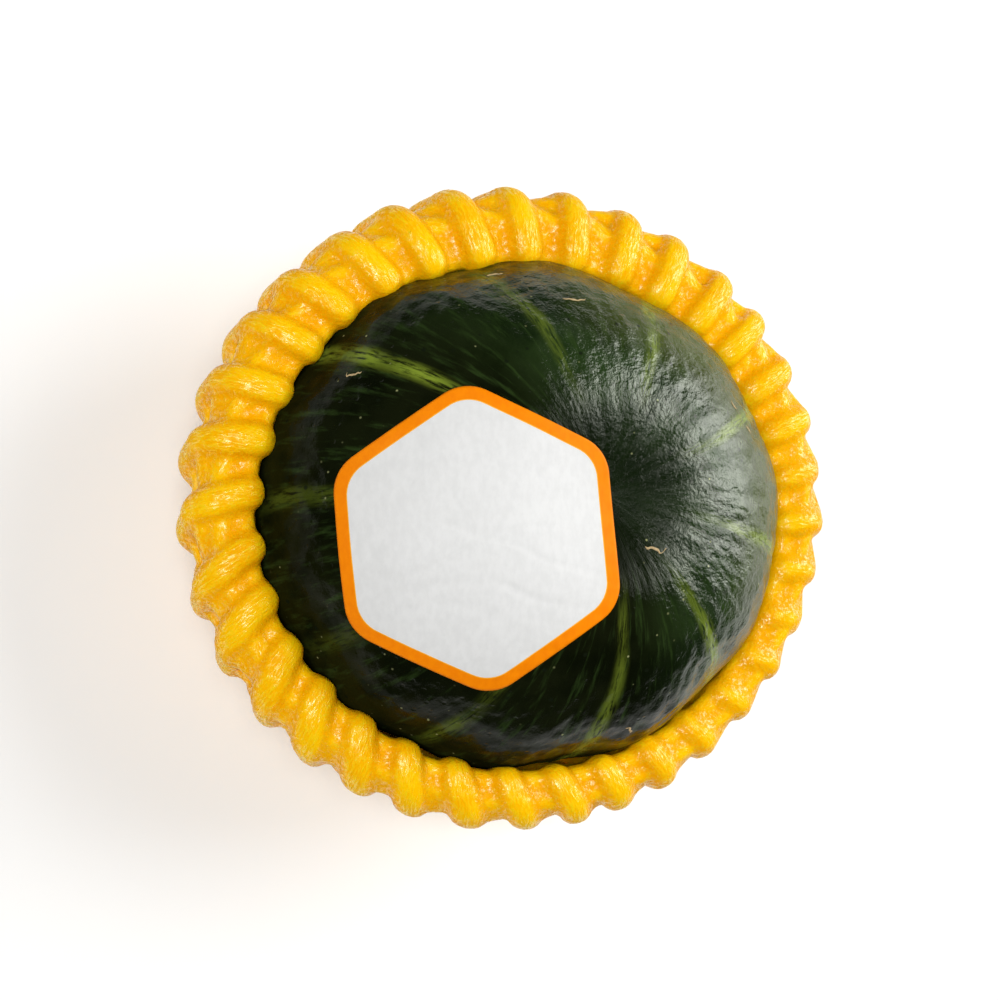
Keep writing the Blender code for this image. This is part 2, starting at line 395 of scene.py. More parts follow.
# %% The fruit's form
RIBS = 10
RIB_DEPTH = 1.4 * MM
RIB_FIRST = math.radians(31)
RIB_UNEVEN = math.radians(7.5)
RIB_UNEVEN_FROM = math.radians(50)
FRUIT_COLUMNS = 440
FRUIT_ROWS = 190
ROW_CROWDING = 0.30
SWELL_DEPTH = 0.35 * MM
WRINKLE_DEPTH = 0.12 * MM
HAMMER_DEPTH = 0.20 * MM
STRIPE_STRENGTHS = (1.3, 0.8, 0.42, 1.05, 0.25, 0.12, 0.35, 0.55, 0.9, 0.9)
STRIPE_HALF_WIDTH = 2.1 * MM
STRIPE_WANDER = 0.9 * MM


def row_turn(part):
    """Rows of the fruit lie closer together towards its two ends."""
    turn = math.pi * part
    return turn - 0.5 * ROW_CROWDING * math.sin(2.0 * turn)


def rib_angle(angle):
    """Where a column of the fruit lies, with the ribs uneven round it."""
    turned = angle + RIB_FIRST
    return turned + RIB_UNEVEN * math.sin(turned - RIB_UNEVEN_FROM)


def groove_at(turn, column):
    """1 in the middle of a groove, 0 between two grooves and at both ends of the fruit."""
    return (0.5 + 0.5 * math.cos(RIBS * column)) * math.sin(turn) ** 2


def skin_relief(turn, angle):
    """How far wrinkles and bumps stand off the plain skin."""
    across, side = math.cos(angle), math.sin(angle)
    swell = noise.noise(Vector((across * 3.0, side * 3.0, turn * 3.0 + 3.0)))
    relief = SWELL_DEPTH * swell * math.sin(turn)
    wrinkled = plateau(turn, 0.06, 0.30, 0.70, 1.25)
    if wrinkled > 0.0:
        warp = 0.5 * swell + 0.10 * noise.noise(Vector((across * 7.0, side * 7.0, turn * 9.0)))
        at = Vector((across * 12.0 + warp, side * 12.0 - warp, turn * 4.5))
        wrinkle = noise.fractal(at, 0.8, 2.0, 3)
        relief += WRINKLE_DEPTH * wrinkled * wrinkle * min(2.0 * math.sin(turn), 1.0)
    hammered = plateau(turn, 0.25, 0.6, 1.3, 1.8)
    if hammered > 0.0:
        at = Vector((across * 16.0, side * 16.0, turn * 14.0 + 7.0))
        hammer = noise.fractal(at, 0.8, 2.1, 2)
        relief += HAMMER_DEPTH * hammered * hammer
    return relief


def stripe_here(turn, angle, radius):
    """Strength of the pale stripe, which wanders a little and breaks up along each groove."""
    part = angle / TAU * RIBS
    rib = round(part)
    wander = STRIPE_WANDER * noise.noise(Vector((rib * 5.3, turn * 3.5, 0.0)))
    off = abs((part - rib) * TAU / RIBS * max(radius, MM) + wander)
    strength = STRIPE_STRENGTHS[rib % RIBS]
    broken = 0.60 + 0.55 * noise.noise(Vector((rib * 3.1, turn * 6.0, 9.0)))
    width = STRIPE_HALF_WIDTH * (0.55 + 0.6 * smooth_step(turn, 0.3, 1.3))
    shown = plateau(turn, 0.22, 0.62, 2.5, 2.8)
    return strength * broken * shown * (1.0 - smooth_step(off, 0.15 * width, 1.25 * width))


print("the", RIBS, "grooves are", round(RIB_DEPTH / MM, 1), "mm deep")

# %% Roll the fruit from a grid
fruit_form = bmesh.new()
bmesh.ops.create_grid(fruit_form, x_segments=FRUIT_COLUMNS, y_segments=FRUIT_ROWS, size=1.0)
lie_layer = fruit_form.verts.layers.float_vector.new("lie")
stripe_layer = fruit_form.verts.layers.float.new("stripe")
fruit_rows = []
for row in range(FRUIT_ROWS + 1):
    turn = row_turn(row / FRUIT_ROWS)
    fruit_rows.append((turn, *profile(turn, BASIN_DEPTH), *facing_out(turn)))
for vertex in fruit_form.verts:
    row = round((1.0 - vertex.co.y) * 0.5 * FRUIT_ROWS)
    column = round((1.0 + vertex.co.x) * 0.5 * FRUIT_COLUMNS) % FRUIT_COLUMNS
    turn, radius, height, outward, upward = fruit_rows[row]
    angle = TAU * column / FRUIT_COLUMNS
    relief = skin_relief(turn, angle) * smooth_step(math.sin(turn), 0.0, 0.1)
    across = radius + relief * outward - RIB_DEPTH * groove_at(turn, angle)
    vertex[lie_layer] = Vector((math.cos(angle), math.sin(angle), turn))
    vertex[stripe_layer] = stripe_here(turn, angle, radius)
    vertex.co = place(across, rib_angle(angle), height + relief * upward)
bmesh.ops.remove_doubles(fruit_form, verts=fruit_form.verts, dist=0.0005 * MM)
fruit_mesh = make_mesh("pumpkin_rind", fruit_form)
print("the fruit's mesh has", len(fruit_mesh.vertices), "vertices")

# %% [markdown]
# ## The finish of the rind
# The colour is close to black: blue-green, with lighter green clouds and streaks that run from pole to
# pole, tiny pale flecks, and the stripes. It could be painted, but a pattern made of noise on the lie of
# the skin has no seam and stays sharp up close. Light and shade are painted in too: the side towards the
# window lamp is painted lighter, with a painted sheen on its shoulder and a painted olive reflection of the
# yellow sleeve near the rim, and the blossom basin is painted near black as shade. Wax makes the rind
# glossy on the side towards the window lamp, and four fine bumps break that gloss into a crackle.

# %% Rind colours
# Painted light and shade: the darker pair is painted on the side away from the window lamp, the lighter pair
# on the side towards it.
PAINTED_SHADE_COLOURS = (0.0026, 0.0038, 0.0010), (0.0062, 0.0082, 0.0024)
PAINTED_LIGHT_COLOURS = (0.0060, 0.0170, 0.0030), (0.0200, 0.0440, 0.0100)
STREAK_COLOUR = (0.028, 0.054, 0.012)
# Painted reflection: an olive tint for the yellow sleeve's light on the rind near the rim.
PAINTED_SLEEVE_REFLECTION_COLOUR = (0.070, 0.062, 0.004)
# Painted sheen: a lighter green for the shoulder towards the window lamp.
PAINTED_SHEEN_COLOUR = (0.100, 0.118, 0.026)
# Painted shade: a near black for the hollow of the blossom basin.
PAINTED_BASIN_SHADE_COLOUR = (0.0030, 0.0052, 0.0016)
STRIPE_COLOUR = (0.230, 0.310, 0.030)
PIT_COLOUR = (0.006, 0.009, 0.004)
FLECK_COLOUR = (0.30, 0.31, 0.14)

rind, tree, shader = start_finish("pumpkin_rind", (0.006, 0.010, 0.004), 0.24)
lie = read_attribute(tree, "lie")
spot = own_place(tree)
parts = add_node(tree, "SeparateXYZ", Vector=lie).outputs
turn_down = parts["Z"]
# The side towards the window lamp. It mixes the painted light and shade below, and also sets the wax, the
# gloss and the grain.
window_side = fade(tree, parts["X"], -0.32, 0.72)
# The shoulder towards the window lamp gets a painted sheen, and less wax gloss.
painted_sheen_shoulder = fade(tree, parts["X"], 0.35, 0.95)
painted_sheen_shoulder = multiply(tree, painted_sheen_shoulder, fade(tree, turn_down, 0.42, 0.80))

cloud = fade(tree, clouds(tree, spot, 75.0, 5.0, 0.6), 0.36, 0.66)
# Painted light and shade: the rind is painted lighter on the side towards the window lamp.
shade = mix_colours(tree, cloud, *PAINTED_SHADE_COLOURS)
light = mix_colours(tree, cloud, *PAINTED_LIGHT_COLOURS)
colour = mix_colours(tree, window_side, shade, light)
streak = clouds(tree, scaled(tree, lie, (24.0, 24.0, 4.5)), 1.0, 6.0, 0.62)
streak = multiply(tree, fade(tree, streak, 0.50, 0.74), 0.62)
colour = mix_colours(tree, streak, colour, STREAK_COLOUR)
# Painted reflection of the yellow sleeve, near the rim and on the side towards the window lamp.
painted_sleeve_reflection = fade(tree, clouds(tree, spot, 120.0, 4.0), 0.36, 0.60)
painted_sleeve_reflection = multiply(tree, fade(tree, turn_down, 1.00, 1.50), painted_sleeve_reflection)
painted_sleeve_reflection = multiply(tree, painted_sleeve_reflection, fade(tree, window_side, 0.0, 1.0, 0.15, 0.60))
colour = mix_colours(tree, painted_sleeve_reflection, colour, PAINTED_SLEEVE_REFLECTION_COLOUR)
colour = mix_colours(tree, multiply(tree, painted_sheen_shoulder, 0.72), colour, PAINTED_SHEEN_COLOUR)

# Painted shade in the blossom basin.
basin = fade(tree, turn_down, 0.15, 0.45, 0.75, 0.0)
colour = mix_colours(tree, basin, colour, PAINTED_BASIN_SHADE_COLOUR)

stripe_grain = clouds(tree, scaled(tree, lie, (60.0, 60.0, 9.0)), 1.0, 5.0, 0.65)
stripe = multiply(tree, read_attribute(tree, "stripe", "Fac"), fade(tree, stripe_grain, 0.34, 0.56))
colour = mix_colours(tree, stripe, colour, STRIPE_COLOUR)

pit_cells = add_node(tree, "TexVoronoi", Vector=spot, Scale=430.0)
pit_kept = add_node(tree, "SeparateColor", Color=pit_cells.outputs["Color"]).outputs["Green"]
pit = fade(tree, pit_cells.outputs["Distance"], 0.10, 0.24, 1.0, 0.0)
pit = multiply(tree, pit, fade(tree, pit_kept, 0.55, 0.80))
colour = mix_colours(tree, multiply(tree, pit, 0.80), colour, PIT_COLOUR)

fleck_cells = add_node(tree, "TexVoronoi", Vector=spot, Scale=400.0)
fleck_kept = add_node(tree, "SeparateColor", Color=fleck_cells.outputs["Color"]).outputs["Red"]
fleck = fade(tree, fleck_cells.outputs["Distance"], 0.03, 0.12, 1.0, 0.0)
fleck = multiply(tree, fleck, fade(tree, fleck_kept, 0.35, 1.0, 0.0, 0.90))
colour = mix_colours(tree, fleck, colour, FLECK_COLOUR)
feed(tree, shader.inputs["Base Color"], colour)
print("the rind's colour takes", len(tree.nodes), "nodes")

# %% Rind gloss and bumps
blotch = clouds(tree, scaled(tree, lie, (8.0, 8.0, 6.0)), 1.0, 5.0, 0.6)
waxed = fade(tree, turn_down, 0.10, 0.34, 0.14, 1.0)
waxed = multiply(tree, waxed, fade(tree, window_side, 0.0, 1.0, 0.16, 1.0))
waxed = multiply(tree, waxed, fade(tree, blotch, 0.38, 0.58, 0.40, 1.0))
waxed = multiply(tree, waxed, fade(tree, painted_sheen_shoulder, 0.0, 1.0, 1.0, 0.25))
waxed = multiply(tree, waxed, fade(tree, turn_down, 1.00, 1.38, 1.0, 0.0))
feed(tree, shader.inputs["Specular IOR Level"], waxed)
shader.inputs["Specular Tint"].default_value = (0.96, 1.0, 0.87, 1.0)
gloss = fade(tree, multiply(tree, fade(tree, blotch, 0.42, 0.62), window_side), 0.0, 1.0, 0.14, 0.27)
feed(tree, shader.inputs["Roughness"], gloss)
grainy = fade(tree, window_side, 0.0, 1.0, 0.20, 1.0)
grain = multiply(tree, clouds(tree, spot, 1050.0, 3.0, 0.65), grainy)
pimples = multiply(tree, clouds(tree, spot, 380.0, 4.0, 0.62), grainy)
wrinkles = clouds(tree, scaled(tree, lie, (34.0, 34.0, 12.0)), 1.0, 4.0, 0.6)
pits = fade(tree, add_node(tree, "TexVoronoi", Vector=spot, Scale=420.0).outputs["Distance"], 0.10, 0.22)
bumps = [(wrinkles, 0.09 * MM), (pimples, 0.30 * MM), (pits, 0.04 * MM), (grain, 0.22 * MM)]
make_bump(tree, shader, bumps)
make_piece("pumpkin_rind", fruit_mesh, [rind], "pumpkin")

# %% [markdown]
# ## Corky scars
# Where the skin was scratched while the fruit grew, it healed with a thin tan ridge of cork. They are few
# and small. They could be painted on, but a raised ridge catches the light, so each is a real one: a grid
# rolled into a thin tube, narrowed at both ends, bent along a short curve and laid on the skin. One loop
# makes them all, from the place, length and turn of each.

# %% Corky scars
SCAR_STEPS = 26
SCAR_SIDES = 8
SCAR_HEIGHT = 0.16 * MM
SCAR_LIFT = 0.02 * MM
# Azimuth, turn down from the blossom end, length, half width, heading: in degrees and millimetres.
SCARS = (
    (-50.0, 12.5, 3.6, 0.32, 29.0),
    (-74.0, 61.0, 3.2, 0.36, 21.0),
    (107.0, 64.0, 3.2, 0.30, 73.0),
    (94.0, 45.0, 4.4, 0.34, 84.0),
    (34.0, 41.0, 2.2, 0.36, 115.0),
    (25.0, 43.0, 1.8, 0.32, 120.0),
    (152.0, 62.0, 4.0, 0.28, 15.0),
    (10.0, 70.0, 2.4, 0.30, 140.0),
)


def skin_place(turn, angle, off):
    """A point on the ribbed skin or off it, from how far down and how far round it lies."""
    column = angle - RIB_FIRST
    for _ in range(4):
        column += angle - rib_angle(column)
    radius, height = skin(turn, off=off + skin_relief(turn, column))
    return place(radius - RIB_DEPTH * groove_at(turn, column), angle, height)


scar_form = bmesh.new()
for number, (azimuth, down, length, width, heading) in enumerate(SCARS):
    strip = bmesh.ops.create_grid(scar_form, x_segments=SCAR_STEPS, y_segments=SCAR_SIDES, size=1.0)
    turn_at, angle_at = math.radians(down), math.radians(azimuth)
    reach = FRUIT_RADIUS * math.sin(turn_at)
    for vertex in strip["verts"]:
        along, side = vertex.co.x, vertex.co.y * math.pi
        wobble = noise.noise(Vector((along * 2.2, number * 4.0, 0.5)))
        body = math.sqrt(max(1.0 - along * along, 0.0)) * (0.75 + 0.5 * wobble)
        bend = math.radians(heading) + 0.7 * wobble
        forward = along * length * 0.5 * MM
        sideways = width * MM * body * math.cos(side)
        down_by = forward * math.cos(bend) - sideways * math.sin(bend)
        round_by = forward * math.sin(bend) + sideways * math.cos(bend)
        lift = SCAR_HEIGHT * body * math.sin(side) + SCAR_LIFT
        vertex.co = skin_place(turn_at + down_by / FRUIT_RADIUS, angle_at + round_by / reach, lift)
bmesh.ops.remove_doubles(scar_form, verts=scar_form.verts, dist=0.002 * MM)
bmesh.ops.dissolve_degenerate(scar_form, edges=scar_form.edges, dist=0.002 * MM)

scar_finish, tree, shader = start_finish("scar_cork", (0.42, 0.30, 0.14), 0.75)
spot = own_place(tree)
colour = mix_colours(tree, clouds(tree, spot, 2500.0, 3.0), (0.30, 0.19, 0.07), (0.62, 0.48, 0.27))
feed(tree, shader.inputs["Base Color"], colour)
make_bump(tree, shader, [(clouds(tree, spot, 4000.0, 2.0), 0.08 * MM)])
make_piece("corky_scars", make_mesh("corky_scars", scar_form), [scar_finish])

# %% [markdown]
# ## The cut stem
# A kabocha is cut with a short stub of its stem, which dries to tan cork. It sits in the cavity under the
# fruit, where the sleeve's hole shows it. Its profile is spun round once, and then each vertex is pushed in
# or out a little, which gives the stub its furrows and its rough cut end.

# %% The cut stem
FIT_GAP = 0.4 * MM
STEM_COLUMNS = 96
STEM_FLARE = 8.2 * MM
STEM_RADIUS = 6.4 * MM
STEM_NECK = 5.8 * MM
STEM_LENGTH = 9.5 * MM
STEM_CUT_BEVEL = 0.8 * MM
STEM_RIDGES = 5
STEM_ROUGHNESS = 0.22 * MM


def stem_profile():
    """Radius and height down the stub: under the skin, the flare, the neck and the cut end."""
    under_skin = [skin(math.pi - part * 0.025, off=FIT_GAP) for part in range(0, 7)]
    under_skin = [point for point in under_skin if point[0] < STEM_FLARE - 0.4 * MM]
    middle, last = (0.0, under_skin[0][1]), under_skin[-1]
    under_skin[0] = middle
    cut = middle[1] - STEM_LENGTH
    flare = (STEM_FLARE, last[1] - 0.25 * MM)
    waist = []
    for part in range(1, 7):
        radius = STEM_NECK + (STEM_FLARE - STEM_NECK) * (1.0 - part / 6) ** 2.2
        waist.append((radius, flare[1] + (cut - flare[1]) * 0.62 * part / 6))
    end = [
        (STEM_RADIUS, cut + STEM_CUT_BEVEL),
        (STEM_RADIUS - 0.3 * STEM_CUT_BEVEL, cut + 0.3 * STEM_CUT_BEVEL),
        (STEM_RADIUS - STEM_CUT_BEVEL, cut),
    ]
    face = [(STEM_RADIUS * part / 8, cut) for part in (6, 5, 4, 3, 2, 1, 0)]
    return under_skin + [flare] + waist + end + face


stem_points = stem_profile()
stem_form = bmesh.new()
spin_round(stem_form, stem_points, STEM_COLUMNS, 0.001 * MM)
stem_cut_height = stem_points[-1][1]
for vertex in stem_form.verts:
    radius = math.hypot(vertex.co.x, vertex.co.y)
    angle = math.atan2(vertex.co.y, vertex.co.x)
    down = smooth_step(stem_points[0][1] - vertex.co.z, 0.0, 3.0 * MM)
    furrow = 0.5 * math.cos(STEM_RIDGES * angle)
    at = Vector((math.cos(angle) * 5.0, math.sin(angle) * 5.0, vertex.co.z * 250.0))
    furrow += 0.35 * noise.noise(at)
    at_side = smooth_step(radius, 0.5 * STEM_RADIUS, 0.8 * STEM_RADIUS)
    on_cut = vertex.co.z < stem_cut_height + 0.1 * MM
    rough = STEM_ROUGHNESS * noise.noise(vertex.co * 900.0) if on_cut else 0.0
    vertex.co = place(radius + furrow * MM * down * at_side, angle, vertex.co.z + abs(rough))

cork, tree, shader = start_finish("stem_cork", (0.34, 0.25, 0.12), 0.88)
spot = own_place(tree)
grain = clouds(tree, scaled(tree, spot, (700.0, 700.0, 130.0)), 1.0, 5.0, 0.65)
colour = mix_colours(tree, fade(tree, grain, 0.35, 0.68), (0.17, 0.115, 0.05), (0.52, 0.41, 0.24))
feed(tree, shader.inputs["Base Color"], colour)
make_bump(tree, shader, [(grain, 0.5 * MM), (clouds(tree, spot, 1800.0, 3.0), 0.15 * MM)])
make_piece("cut_stem", make_mesh("cut_stem", stem_form), [cork], "stem")

# %% [markdown]
# ## The sleeve's section
# The foam sleeve is one tube of net, pushed halfway into itself. So there are two layers, and the rim is
# the fold between them. Its section follows the skin: up the inner layer, over the fold, down the outer
# layer and under the fruit. Three functions give a point on each stretch, lifted off it along the way that
# faces out there.

# %% Section of the sleeve
FOAM_SIDE = 10.3 * MM
FOAM_SIDE_X = 0.5 * MM
FOAM_SIDE_Y = 1.6 * MM
FOAM_OVAL = 0.6 * MM
FOAM_OVAL_TOWARD = math.radians(65)
FOAM_UNDER = 8.2 * MM
FOAM_THINS_FROM = math.radians(92)
FOAM_THINS_TO = math.radians(150)
RIM_TURN = math.radians(87.5)
RIM_TURN_X = math.radians(-4.0)
RIM_TURN_Y = math.radians(-2.5)
RIM_FOLD_HEIGHT = 0.92
RIM_HUG = math.radians(6)
RIM_LEAN = 0.36
HOLE_TURN = math.radians(162)
LOBES = 34


def foam_thickness(turn, angle):
    """The sleeve is thickest at the rim, uneven round the fruit, and squashed thinner under it."""
    side = FOAM_SIDE + FOAM_SIDE_X * math.cos(angle) + FOAM_SIDE_Y * math.sin(angle)
    side += FOAM_OVAL * math.cos(2.0 * (angle - FOAM_OVAL_TOWARD))
    under = smooth_step(turn, FOAM_THINS_FROM, FOAM_THINS_TO)
    return side + (FOAM_UNDER - side) * under


def rim_turn(angle):
    """How far down from the blossom end the fold of the rim lies: it stands higher on one side."""
    return RIM_TURN + RIM_TURN_X * math.cos(angle) + RIM_TURN_Y * math.sin(angle)


def fold_spot(angle, swing, lift):
    """A point at the fold: swing is 0 on its crest and grows outwards, lift is off its mean surface.
    Away from the camera the fold leans further over the fruit."""
    top = rim_turn(angle)
    inner = Vector(skin(top - RIM_HUG, off=FIT_GAP))
    outer = Vector(skin(top, off=FIT_GAP + foam_thickness(top, angle)))
    middle = 0.5 * (inner + outer)
    across = 0.5 * (outer - inner)
    up = Vector((-across.y, across.x)) * RIM_FOLD_HEIGHT
    lean = RIM_LEAN * max(math.sin(angle), -0.3) * min(math.sin(2.0 * swing), 0.0)
    away = up * math.cos(swing) + across * (math.sin(swing) + lean)
    spot = middle + away + away.normalized() * lift
    return place(spot.x, angle, spot.y)


def wall_spot(angle, along, lift):
    """A point of the outer layer: along runs from 0 at the fold to 1 at the hole below."""
    top = rim_turn(angle)
    turn = top + (HOLE_TURN - top) * along
    reach = skin(turn, off=FIT_GAP + foam_thickness(turn, angle) + lift)
    return place(reach[0], angle, reach[1])


def lining_spot(angle, along, lift):
    """A point of the inner layer, on the skin: along runs from 0 at the fold to 1 at the hole."""
    hug = rim_turn(angle) - RIM_HUG
    reach = skin(hug + (HOLE_TURN - hug) * along, off=FIT_GAP + lift)
    return place(reach[0], angle, reach[1])


FOLD_QUARTER = 8.0 * MM
RIM_TWIST = 0.13
RIM_TWIST_TOWARD = math.radians(232)
WALL_RUN = 55.0 * MM
LINING_RUN = 50.0 * MM


def sleeve_spot(angle, run, lift):
    """A point of the whole section: run is 0 on the fold's crest, grows outwards and down, and is
    negative inwards and down. Lift is off the mean surface, away from the foam. On one side the outer
    layer is dragged a little round the fruit, so that the strands lean where they cross the rim."""
    twisted = smooth_step(math.cos(angle - RIM_TWIST_TOWARD), 0.30, 1.0)
    angle += RIM_TWIST * twisted * smooth_step(run, -FOLD_QUARTER, 1.5 * FOLD_QUARTER)
    if run > FOLD_QUARTER:
        return wall_spot(angle, (run - FOLD_QUARTER) / WALL_RUN, lift)
    if run < -FOLD_QUARTER:
        return lining_spot(angle, (-run - FOLD_QUARTER) / LINING_RUN, -lift)
    return fold_spot(angle, 0.5 * math.pi * run / FOLD_QUARTER, lift)


rim_height = sleeve_spot(0.0, 0.0, 0.0).z
print("the rim is", round(rim_height / MM, 1), "mm high on its high side")

# %% [markdown]
# ## Strands
# The net is made of round foam strands about 5 mm thick, in two families: one winds to the left, the
# other to the right, and they are fused in long bonds where they cross. A curve with a bevel would make a
# strand, but not its flattened section or its closed round ends. So a strand is a grid rolled into a tube
# along its path. The stations of all paths are kept: they later tell the finish which way the foam's
# fibres run.

# %% Helper that lays a strand
STRAND_HALF_WIDTH = 2.45 * MM
STRAND_HALF_DEPTH = 2.2 * MM
STRAND_SIDES = 12
STRAND_UNEVEN = 0.07
stations = []


def lay_strand(form, spot_at, steps, half_width, half_depth, widen=None):
    """A strand along spot_at(part, lift), with part from 0 to 1 and lift off its own middle line."""
    centres = [spot_at(step / steps, 0.0) for step in range(steps + 1)]
    outs = [spot_at(step / steps, 0.5 * MM) - centre for step, centre in enumerate(centres)]
    lengths = [0.0]
    for before, after in zip(centres, centres[1:]):
        lengths.append(lengths[-1] + (after - before).length)
    tube = bmesh.ops.create_grid(form, x_segments=steps, y_segments=STRAND_SIDES, size=1.0)
    seed = len(stations) * 0.37 * MM
    frames = []
    for step, centre in enumerate(centres):
        along = (centres[min(step + 1, steps)] - centres[max(step - 1, 0)]).normalized()
        side = along.cross(outs[step]).normalized()
        out = side.cross(along)
        to_end = min(lengths[step], lengths[-1] - lengths[step]) / half_width
        size = math.sqrt(max(1.0 - (1.0 - min(to_end, 1.0)) ** 2, 0.0))
        size *= 1.0 + STRAND_UNEVEN * noise.noise(centre * 160.0)
        width = half_width * (widen(step / steps) if widen else 1.0)
        frames.append((centre, side * width * size, out * half_depth * size))
        stations.append((centre, along, side, out, lengths[step] + seed, seed))
    for vertex in tube["verts"]:
        step = round((vertex.co.x + 1.0) * 0.5 * steps)
        swing = math.pi * (1.0 + vertex.co.y)
        centre, side, out = frames[step]
        vertex.co = centre + side * math.cos(swing) + out * math.sin(swing)


# %% [markdown]
# ## The net
# Each strand is one long tube: up from the hole on the inside, over the fold, and down the outside. It
# runs straight in a bond and then leans across to the next bond, half a lobe on. The bond over the fold is
# the longest, because the rim is stretched, and there the upper family makes thick bars that end in bumps
# on the fruit. On the side that the blossom end leans towards, the rim is pulled flatter.

# %% Long strands
STRAND_STEPS = 190
ROW_RUN = 11.0 * MM
OUTER_FIRST_ROW = 16.0 * MM
INNER_FIRST_ROW = 12.0 * MM
BOND_MIDDLE = 1.5 * MM
BOND_REST = 0.88
BOND_STRETCH = 0.75
TURNS_INSIDE = 4.2
TURNS_OUTSIDE = 4.1
BAR_STAND = 1.60 * MM
BAR_BUMP = 1.00 * MM
OVER = 1.15 * MM
UNDER = -1.0 * MM
WAIST = 1.8 * MM
BAR_WIDER = 0.26
BAR_FLATTER = 0.65
UNDER_THINNER = 0.50
UNDER_FROM = 0.034
UNDER_FULL = 0.060
foam_form = bmesh.new()


def uneven(number, which):
    """A steady number from -1 to 1 that belongs to a lobe."""
    return noise.noise(Vector((number % LOBES * 1.7 + 0.3, which * 9.1, 4.4)))


def hump(run, *marks):
    """The plateau along a strand's run, with its four marks in millimetres."""
    return plateau(run, *(mark * MM for mark in marks))


def flatter(angle):
    """1 where the rim is pulled flat, 0 on most of the way round."""
    return smooth_step(math.cos(angle + math.radians(14)), 0.50, 0.95)


def net_path(number, winding, turns):
    """Azimuth and run of a strand, some bonds away from the one over the fold."""
    wave = math.sin(TAU * turns) / TAU
    angle = TAU / LOBES * (number + 0.5 * winding * (turns - BOND_REST * wave))
    longer = OUTER_FIRST_ROW if turns > 0.0 else -INNER_FIRST_ROW
    run = BOND_MIDDLE + ROW_RUN * (turns + BOND_STRETCH * wave)
    return angle, run + longer * smooth_step(abs(turns), 0.0, 1.0)


def net_lift(number, winding, turns, angle, run):
    """How far a strand's outer side stands off the mean surface."""
    bond = math.cos(math.pi * turns) ** 2
    waist = WAIST * hump(run, 12.0, 18.0, 34.0, 46.0)
    if winding < 0:
        return UNDER * bond - waist
    at_rim = hump(run, -9.0, -6.0, 14.0, 23.0)
    stand = BAR_STAND * (1.0 - BAR_FLATTER * flatter(angle)) + 0.35 * MM * uneven(number, 2)
    stand += BAR_BUMP * math.exp(-(((run + 5.6 * MM) / (2.2 * MM)) ** 2))
    outside = smooth_step(run, 0.0, 14.0 * MM)
    return stand * at_rim + OVER * bond * outside * (1.0 - at_rim) - waist


def add_strand(number, winding):
    """One strand of the net, from the hole inside to the hole outside."""
    slant = math.radians(0.9 * uneven(number, 1))
    size = 1.0 + 0.08 * uneven(number, 3)

    def spot_at(part, lift):
        turns = (TURNS_INSIDE + TURNS_OUTSIDE) * part - TURNS_INSIDE
        angle, run = net_path(number, winding, turns)
        angle += slant * math.exp(-(((run - 4.0 * MM) / (9.0 * MM)) ** 2))
        height = net_lift(number, winding, turns, angle, run) - STRAND_HALF_DEPTH + lift
        point = sleeve_spot(angle, run, height)
        return Vector((point.x, point.y, max(point.z, STRAND_HALF_DEPTH * 0.9 + lift)))

    def widen(part):
        turns = (TURNS_INSIDE + TURNS_OUTSIDE) * part - TURNS_INSIDE
        run = net_path(number, winding, turns)[1]
        at_rim = hump(run, -14.0, -8.0, 12.0, 20.0)
        under = smooth_step(abs(run), UNDER_FROM, UNDER_FULL)
        return size * (1.0 + BAR_WIDER * at_rim) * (1.0 - UNDER_THINNER * under)

    lay_strand(foam_form, spot_at, STRAND_STEPS, STRAND_HALF_WIDTH, STRAND_HALF_DEPTH, widen)


for number in range(LOBES):
    add_strand(number, 1)
    add_strand(number, -1)
print("the net has", 2 * LOBES, "strands and", len(foam_form.verts), "vertices")

# %% [markdown]
# ## The rope of the rim
# Between two bars the fold shows shorter stretches of strand that lie along the rim like the turns of a
# rope: one on the crest, two down the outer side and two down the inner side. Each leaves one bar and
# dives under the next. They are laid like the long strands, from a small table that says where each
# starts and ends. A soft ring inside keeps the fold full.

# %% Rails of the rim
RAIL_STEPS = 18
RAIL_FROM, RAIL_TO = -0.12, 1.12
RAIL_UNEVEN_RUN = 0.5
RAIL_UNEVEN_LIFT = 0.25
CREST_RISE = 1.3
CREST_DROP = 0.5
CREST_RISE_TOWARD = math.radians(245)
EDGE_HUG = 0.9
CORE_STEPS = 240
CORE_DEPTH = -5.3 * MM
CORE_HALF_WIDTH = 2.9 * MM
CORE_HALF_DEPTH = 2.6 * MM
# Name, start run, end run, start lift, end lift and half width, in millimetres.
RAILS = (
    ("crest", -2.0, 1.0, -1.2, 0.1, 2.5),
    ("inner slope", -5.0, -4.0, -2.5, 0.2, 2.2),
    ("inner edge", -7.0, -6.2, 0.2, 1.0, 2.2),
    ("outer slope", 4.6, 6.6, 1.2, -2.3, 2.4),
    ("outer edge", 9.8, 13.0, 1.2, -2.7, 2.4),
)


def add_rail(number, rail, name, start_run, end_run, start_lift, end_lift, half):
    """A stretch of strand from one bar to the next. On one side the crest's stands up more."""
    start, end = TAU / LOBES * (number + RAIL_FROM), TAU / LOBES * (number + RAIL_TO)
    shift = RAIL_UNEVEN_RUN * uneven(number, 4 + rail)
    twist = 0.5 + 0.5 * math.cos(start - CREST_RISE_TOWARD) if name == "crest" else 0.0
    hug = EDGE_HUG * max(math.sin(start), 0.0) if name == "inner edge" else 0.0

    def spot_at(part, lift):
        run = start_run + shift + (end_run - start_run) * smooth_step(part, 0.0, 1.0)
        change = end_lift - CREST_DROP * twist - start_lift - CREST_RISE * twist
        height = start_lift + CREST_RISE * twist + change * part
        height += RAIL_UNEVEN_LIFT * uneven(number, 10 + rail) + hug
        return sleeve_spot(start + (end - start) * part, run * MM, (height - half) * MM + lift)

    lay_strand(foam_form, spot_at, RAIL_STEPS, half * MM, half * MM)


